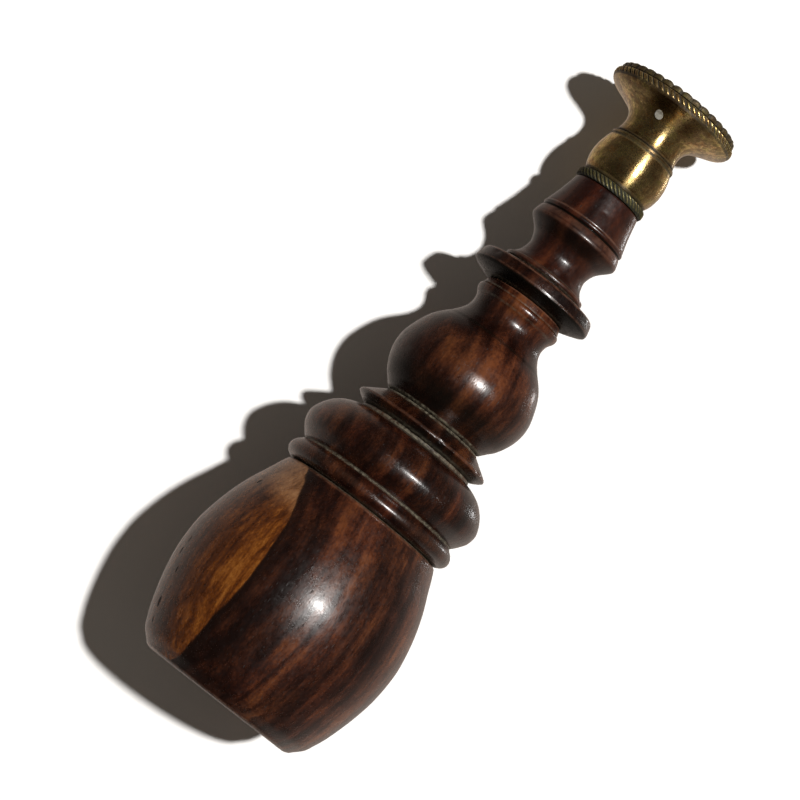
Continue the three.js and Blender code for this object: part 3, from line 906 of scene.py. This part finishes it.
# the bulb-shaped ferrule
piece(
    turned("bulb_body", [
        (0, 84.4), (2.9, 84.4, 0.15), (2.9, BULB_BASE, 0.06), (4.95, BULB_BASE, 0.06),
        (5.22, 94.42), (5.5, 94.85), (5.76, 95.4), (6.0, 96.3), (6.11, 97.2), (6.12, 97.6),
        (6.03, 98.7), (5.78, 99.85), (5.52, 100.65), (5.42, 100.88, 0.06), (5.5, 101.0, 0.06),
        (5.52, 101.3, 0.06), (5.38, BULB_TOP, 0.06), (2.0, BULB_TOP, 0.1), (1.75, 101.3, 0.1),
        (1.75, 96.2, 0.1), (0, 96.2),
    ], segments=192, step=0.15, shape=wobble(71, 0.012, r_min=3.6, dented=dents(
        17, 9, (94.6, 101), depth=0.03, width=0.35, height=0.35))),
    brass(
        "aged_brass", 1.0, patina=0.78,
        grime=((94.4, 0.3, 0.8), (100.88, 0.22, 0.92), (101.35, 0.20, 0.20), (101.5, 0.14, 0.9)),
        # the two front stains are brown patina and painted dark reflection beside the highlight;
        # the two rings darken the joints
        stains_and_shade=(((-1.4, -6.0, 96.0), (2.2, 3.0, 1.6), 0.42),
                ((3.3, -5.2, 99.4), (1.6, 4.0, 2.0), 0.40),
                ((0.0, 0.0, 101.3), (9.0, 9.0, 0.75), 0.85),
                ((0.0, 0.0, 94.6), (9.0, 9.0, 0.6), 0.6))),
    body="handle", node="bulb_ferrule")

# the screw between ferrule and head
piece(
    turned("screw_body", [
        (0, 97.0), (1.2, 97.0, 0.1), (SCREW_R, 97.4, 0.05), (SCREW_R, 101.9, 0.1),
        (SCREW_R, 105.9, 0.1), (0, 106.0),
    ], segments=96, step=0.07, shape=thread(SCREW_R, depth=0.24, pitch=0.7, z0=97.2, z1=101.7)),
    brass("screw_brass", 6.0, patina=0.2, rough=0.26),
    body="screw", node="head_screw")

# the flared head with its milled rim; FLARE is (radius, z) up the outside
FLARE = [
    (5.18, 101.8), (5.06, 102.15), (4.92, 102.8), (4.88, 103.4), (4.93, 104.05), (5.2, 104.78),
    (5.55, 105.25), (5.95, 105.62), (6.65, 106.03), (7.5, 106.43), (8.35, 106.82), (9.15, 107.15),
    (9.88, 107.5), (10.3, 107.82),
]
RIM_SLANT = slant_for(RIM_CORDS, radius=10.6)
piece(
    turned("head_body", [
        (0, 106.5), (1.75, 106.5, 0.1), (1.75, 101.95, 0.1), (2.0, HEAD_BASE, 0.1),
        (5.0, HEAD_BASE, 0.06), (*FLARE[0], 0.08), *FLARE[1:], (10.46, 108.03),
        (10.54, 108.22, 0.05), (10.64, 108.38), (RIM_R, 108.75), (10.58, 109.08),
        (10.38, 109.24, 0.06), (9.9, 109.32, 0.06), (8.6, 109.32, 0.06), (8.6, 108.6, 0.06),
        (0, 108.6),
    ], segments=RIM_CORDS * 9, step=0.12, shape=both(
        rope(RIM_CORDS, RIM_MID, half=0.52, depth=0.34, slant=RIM_SLANT, r_out=RIM_R),
        wobble(81, 0.012, r_min=3.0, dented=dents(
            19, 10, (102, 107.5), depth=0.035, width=0.35, height=0.3)))),
    brass(
        "head_brass", 9.0, patina=0.80, soil_and_shade=(0.011, 0.008, 0.005),
        # the stains beside the highlight on the flare and throat are brown patina and painted dark
        # reflection; the ones at the lip's front and the flare's left darken those places; the
        # ring at 101.8 darkens the joint
        stains_and_shade=(((-1.9, -8.6, 107.2), (3.4, 4.0, 1.5), 0.85),
                ((3.3, -8.0, 106.8), (1.9, 4.0, 1.7), 0.7),
                ((0.0, 0.0, 101.8), (9.0, 9.0, 0.7), 0.8),
                ((-1.9, -5.0, 103.7), (1.5, 3.0, 1.8), 0.32),
                ((0.5, -10.0, 108.0), (5.0, 2.0, 0.5), 0.8),
                ((-8.0, -6.5, 107.8), (4.0, 4.0, 0.9), 0.5)),
        # the band at 108.10 darkens the flare just below the milled rim; the others are joint
        # soiling
        grime=((101.7, 0.24, 0.9), (109.28, 0.12, 0.8), (108.10, 0.20, 0.85)),
        cords=dict(count=RIM_CORDS, mid=RIM_MID, half=0.46, slant=RIM_SLANT, r_min=10.10,
                   amount=0.97)),
    body="head", node="seal_head")

# the scalloped face plate
piece(
    turned("face_body", [
        (0, 108.7), (8.35, 108.7, 0.08), (8.35, 109.38, 0.08), (9.7, 109.38, 0.06),
        (10.08, 109.46, 0.06), (10.22, 109.80), (10.14, 110.10), (9.85, 110.30), (9.4, 110.36),
        (8.9, 110.22), (8.5, 109.90), (8.3, 109.68), (8.1, 109.72, 0.05), (7.75, 109.9, 0.05),
        (7.55, 109.9, 0.05), (7.4, 109.72, 0.05), (7.2, 109.7), (6.9, 109.9, 0.1),
        (6.4, 109.97, 0.1), (3.0, 109.97), (0.9, 109.97, 0.05), (0.75, 109.88, 0.05),
        (0, 109.84),
    ], segments=LOBES * 14, step=0.14, shape=both(
        scallops(LOBES, r_from=8.5, r_to=10.1, cut=0.36, drop=0.46, z_from=109.40),
        wobble(91, 0.01, r_min=5.0))),
    brass(
        "face_brass", 13.0, patina=0.9, base=(0.31, 0.228, 0.098), rough=0.36, turned_marks=0.4,
        grime=((109.42, 0.12, 0.8), (110.10, 0.50, 0.78), (109.72, 0.12, 0.45)),
        lobes=dict(count=LOBES, r_min=9.3, amount=0.97), soil_and_shade=(0.007, 0.0055, 0.0035)),
    body="head", node="face_plate")


# the pin in the flare
PIN_Z, PIN_R, PIN_DEPTH = 105.93, 0.65, 2.3
PIN_TURN, PIN_DROP = math.radians(14), math.radians(12)   # to the left of -Y, and downwards
PIN_PROUD, PIN_CROWN = 0.12, 0.06    # how far its end stands out, and falls away at its edge
PIN_TILT = 0.62                      # share of the flare's slope that the filed end follows
PIN_SIDES = 40
PIN_RINGS = (0.2, 0.38, 0.52, 0.59, 0.63, PIN_R)


def pin_mesh():
    """A short round pin let in from the front and slightly from below, its end nearly flat."""
    flare_r, flare_z = np.array(FLARE).T
    outward = Vector((-math.sin(PIN_TURN) * math.cos(PIN_DROP),
                      -math.cos(PIN_TURN) * math.cos(PIN_DROP), -math.sin(PIN_DROP)))
    side = Vector((-outward.y, outward.x, 0)).normalized()
    lift = outward.cross(side)
    level = Vector((outward.x, outward.y, 0)).normalized()
    centre = Vector((0, 0, PIN_Z)) + level * float(np.interp(PIN_Z, flare_z, flare_r))

    def at(u, v, out):
        return list(centre + side * u + lift * v + outward * out)

    def leaves_flare(u, v):
        """Distance along the pin at which it leaves the flare, by bisection."""
        lo, hi = -2.5, 2.5
        for _ in range(40):
            mid = (lo + hi) / 2
            x, y, z = at(u, v, mid)
            if math.hypot(x, y) > float(np.interp(z, flare_z, flare_r)):
                hi = mid
            else:
                lo = mid
        return lo

    angles = [k / PIN_SIDES * TAU for k in range(PIN_SIDES)]
    verts = [at(0, 0, PIN_PROUD)]
    for rho in PIN_RINGS:
        for a in angles:
            u, v = rho * math.cos(a), rho * math.sin(a)
            flush = leaves_flare(u, v)
            end = flush * PIN_TILT + PIN_PROUD - PIN_CROWN * (rho / PIN_R) ** 4
            verts.append(at(u, v, max(end, flush + 0.03)))
    verts += [at(PIN_R * math.cos(a), PIN_R * math.sin(a), -PIN_DEPTH) for a in angles]
    verts.append(at(0, 0, -PIN_DEPTH))
    sides = [(k, (k + 1) % PIN_SIDES) for k in range(PIN_SIDES)]
    faces = [[0, 1 + k, 1 + after] for k, after in sides]
    for i in range(len(PIN_RINGS)):
        near = 1 + i * PIN_SIDES
        far = near + PIN_SIDES
        faces += [[near + k, far + k, far + after, near + after] for k, after in sides]
    base = 1 + len(PIN_RINGS) * PIN_SIDES
    faces += [[base + k, len(verts) - 1, base + after] for k, after in sides]
    return make_mesh("pin_body", verts, faces)


piece(pin_mesh(), silver("worn_silver"), body="head", node="locating_pin")

# ------------------------------------------------------------------ camera
TILT = math.radians(5.9)                # upward pitch of the view
ROLL_COS, ROLL_SIN = 0.7880, 0.6157     # the camera is rolled by about 38 degrees
EYE_DISTANCE = 0.4997                   # m from the point looked at
look = Vector((0, math.cos(TILT), math.sin(TILT)))
along = Vector((0, -math.sin(TILT), math.cos(TILT)))
right = Vector((1, 0, 0)) * ROLL_COS + along * ROLL_SIN
up = Vector((1, 0, 0)) * -ROLL_SIN + along * ROLL_COS
eye = Vector((-5.69, 0, 50.5)) * MM - look * EYE_DISTANCE
cam_data = bpy.data.cameras.new("camera")
cam_data.sensor_width = 36.0
cam_data.lens = 154.71
cam_data.clip_start, cam_data.clip_end = 0.01, 20.0
cam = bpy.data.objects.new("camera", cam_data)
cam.matrix_world = Matrix((*zip(right, up, -look, eye), (0, 0, 0, 1)))
bpy.context.scene.collection.objects.link(cam)
bpy.context.scene.camera = cam


def lying(tree):
    """1 when the view is from the camera above, which sees the object lying on a table; 0 from
    anywhere else, where it stands upright on the floor."""
    node = tree.new("ShaderNodeVectorTransform", vector_type="POINT",
                    convert_from="CAMERA", convert_to="WORLD")
    node.inputs[0].default_value = (0, 0, 0)
    away = tree.vec("DISTANCE", node.outputs[0], tuple(eye))
    return tree.math("LESS_THAN", away, 0.004)


def shown(tree, when):
    """1 in the "lying" or the "standing" views."""
    on = lying(tree)
    return tree.sub(1.0, on) if when == "standing" else on


# ------------------------------------------------------------------ table and floor
def plane(name, centre, normal, size):
    mesh = bpy.data.meshes.new(name)
    a = Vector((1, 0, 0))
    b = Vector(normal).normalized().cross(a).normalized()
    corners = ((-1, -1), (1, -1), (1, 1), (-1, 1))
    verts = [Vector(centre) + a * size * i + b * size * j for i, j in corners]
    mesh.from_pydata(verts, [], [(0, 1, 2, 3)])
    mesh.update()
    ob = bpy.data.objects.new(name, mesh)
    bpy.context.scene.collection.objects.link(ob)
    return ob


def stage_material(name, colour, when):
    """Matt paper-like surface, see-through in the other views."""
    mat, tree = new_material(name)
    on = shown(tree, when)
    place = tree.new("ShaderNodeNewGeometry").outputs["Position"]
    paper = tree.noise(tree.vec("SCALE", place, scale=900.0), detail=2.0, rough=0.5)
    tone = tree.mix(tree.span(paper, 0.3, 0.7, 0.0, 0.05), colour, tuple(c * 0.9 for c in colour))
    diffuse = tree.new("ShaderNodeBsdfDiffuse")
    tree.put(diffuse.inputs["Color"], tone)
    clear = tree.new("ShaderNodeBsdfTransparent")
    mixed = tree.new("ShaderNodeMixShader")
    for socket, value in zip(mixed.inputs, (on, clear.outputs[0], diffuse.outputs[0])):
        tree.put(socket, value)
    tree.finish(mixed.outputs[0])
    return mat


# the table, behind, touches the barrel's side and the head's rim
low_touch, high_touch = Vector((0, 18.3, 16.65)) * MM, Vector((0, 10.75, 108.5)) * MM
slope = (high_touch - low_touch).normalized()
table = plane("table", low_touch, (0, -slope.z, slope.y), size=0.6)
table.data.materials.append(stage_material("table_white", (0.94, 0.93, 0.92), "lying"))
table.visible_glossy = False
table.visible_shadow = False
floor = plane("floor", (0, 0, -0.00005), (0, 0, 1), size=3.0)
floor.data.materials.append(stage_material("floor_pale", (0.74, 0.73, 0.71), "standing"))


# ------------------------------------------------------------------ light
def add_light(name, light, direction):
    """A light object whose back is turned along direction."""
    ob = bpy.data.objects.new(name, light)
    ob.rotation_mode = "QUATERNION"
    ob.rotation_quaternion = direction.to_track_quat("Z", "Y")
    bpy.context.scene.collection.objects.link(ob)
    return ob


def area(name, where, size_x, size_y, radiance, colour, when):
    """An area light aimed at MID, lit only in the lying or the standing views. Metres."""
    light = bpy.data.lights.new(name, "AREA")
    light.shape, light.size, light.size_y = "RECTANGLE", size_x, size_y
    light.energy = radiance * math.pi * size_x * size_y
    light.color = colour
    ob = add_light(name, light, Vector(where) - MID)
    ob.location = where
    light.use_nodes = True
    tree = Tree(light.node_tree)
    emission = tree.new("ShaderNodeEmission")
    tree.put(emission.inputs["Strength"], shown(tree, when))
    tree.finish(emission.outputs[0], "ShaderNodeOutputLight")
    ob.visible_camera = False


# the key light comes from the front right, slightly above
key = bpy.data.lights.new("key", "SUN")
key.energy, key.angle, key.color = 4.1, math.radians(2.7), (1.0, 0.985, 0.96)
add_light("key", key, Vector((0.340, -0.918, 0.200)).normalized())
MID = Vector((0, 0, 0.055))
# window behind on the right: the small bright patches along the right-hand outlines
area("window_right", MID + Vector((0.60, 0.67, 0.41)) * 0.5, size_x=0.05, size_y=0.022,
     radiance=15.0, colour=(1, 1, 1), when="lying")
# studio lights for the standing views: name, place, width, height, radiance, colour
for row in (
    ("studio_top", (0.05, -0.05, 0.75), 0.7, 0.7, 1.1, (1.0, 0.99, 0.97)),
    ("studio_left", (-0.65, -0.1, 0.35), 0.5, 0.7, 0.9, (0.96, 0.98, 1.0)),
    ("studio_back", (0.15, 0.75, 0.40), 0.9, 0.7, 1.5, (1.0, 0.99, 0.97)),
    ("studio_right", (0.7, 0.25, 0.3), 0.4, 0.7, 0.8, (1.0, 0.98, 0.95)),
):
    area(*row, when="standing")


# ------------------------------------------------------------------ world
def table_reflection(tree, x, y, z):
    """Brightness that reflections find in each direction in the lying view."""
    behind = tree.span(y, 0.05, 1.0, 0.0, 0.42, smooth=False)
    # the table is brighter on the right, and darker in the middle towards the base
    behind = tree.mul(behind, tree.span(x, 0.1, 0.6, 1.0, 1.45))
    own = tree.mul(tree.span(z, -0.35, -0.85), tree.span(tree.math("ABSOLUTE", x), 0.5, 0.1))
    behind = tree.mul(behind, tree.mul_add(own, -0.8, 1.0))
    low = tree.mul(tree.span(z, -0.2, -0.6), tree.span(x, 0.1, 0.5, 0.0, 0.10))
    behind = tree.add(behind, tree.mul(low, tree.span(y, -0.2, 0.4)))
    # faint glows at the sides
    left = tree.mul(tree.span(x, -0.15, -0.75), tree.span(y, 0.0, 0.5, 0.0, 0.085))
    sides = tree.mul(tree.span(x, 0.3, 0.9), tree.span(y, -0.7, 0.1, 0.0, 0.075))
    far_left = tree.mul(tree.span(x, -0.5, -0.95), tree.span(y, -0.6, -0.1, 0.0, 0.035))
    sides = tree.add(sides, far_left)
    return tree.add(tree.add(tree.add(behind, left), sides), 0.026)


world = bpy.data.worlds.new("world")
bpy.context.scene.world = world
world.use_nodes = True
tree = Tree(world.node_tree)
rays = tree.new("ShaderNodeLightPath").outputs
x, y, z = tree.xyz(tree.new("ShaderNodeTexCoord").outputs["Generated"])
lie = lying(tree)
standing_glossy = tree.add(tree.span(z, -0.3, 0.9, 0.12, 0.55), 0.0)
glossy = tree.mixf(lie, standing_glossy, table_reflection(tree, x, y, z))
# each pair: standing, lying
ambient = tree.mix(lie, (0.33, 0.33, 0.33), (0.084, 0.073, 0.062))
backdrop = tree.mix(lie, (0.80, 0.80, 0.79), (1.0, 1.0, 1.0))
warmth = tree.mix(lie, (1.0, 1.0, 1.0), (1.06, 0.90, 0.79))
glossy = tree.multiply(tree.join(glossy, glossy, glossy), warmth)
colour = tree.mix(rays["Is Glossy Ray"], ambient, glossy)
colour = tree.mix(rays["Is Camera Ray"], colour, backdrop)
background = tree.new("ShaderNodeBackground")
tree.put(background.inputs[0], colour)
tree.finish(background.outputs[0], "ShaderNodeOutputWorld")
world.cycles.sampling_method = "NONE"

bpy.context.scene.view_settings.view_transform = "Standard"
bpy.context.scene.view_settings.look = "None"
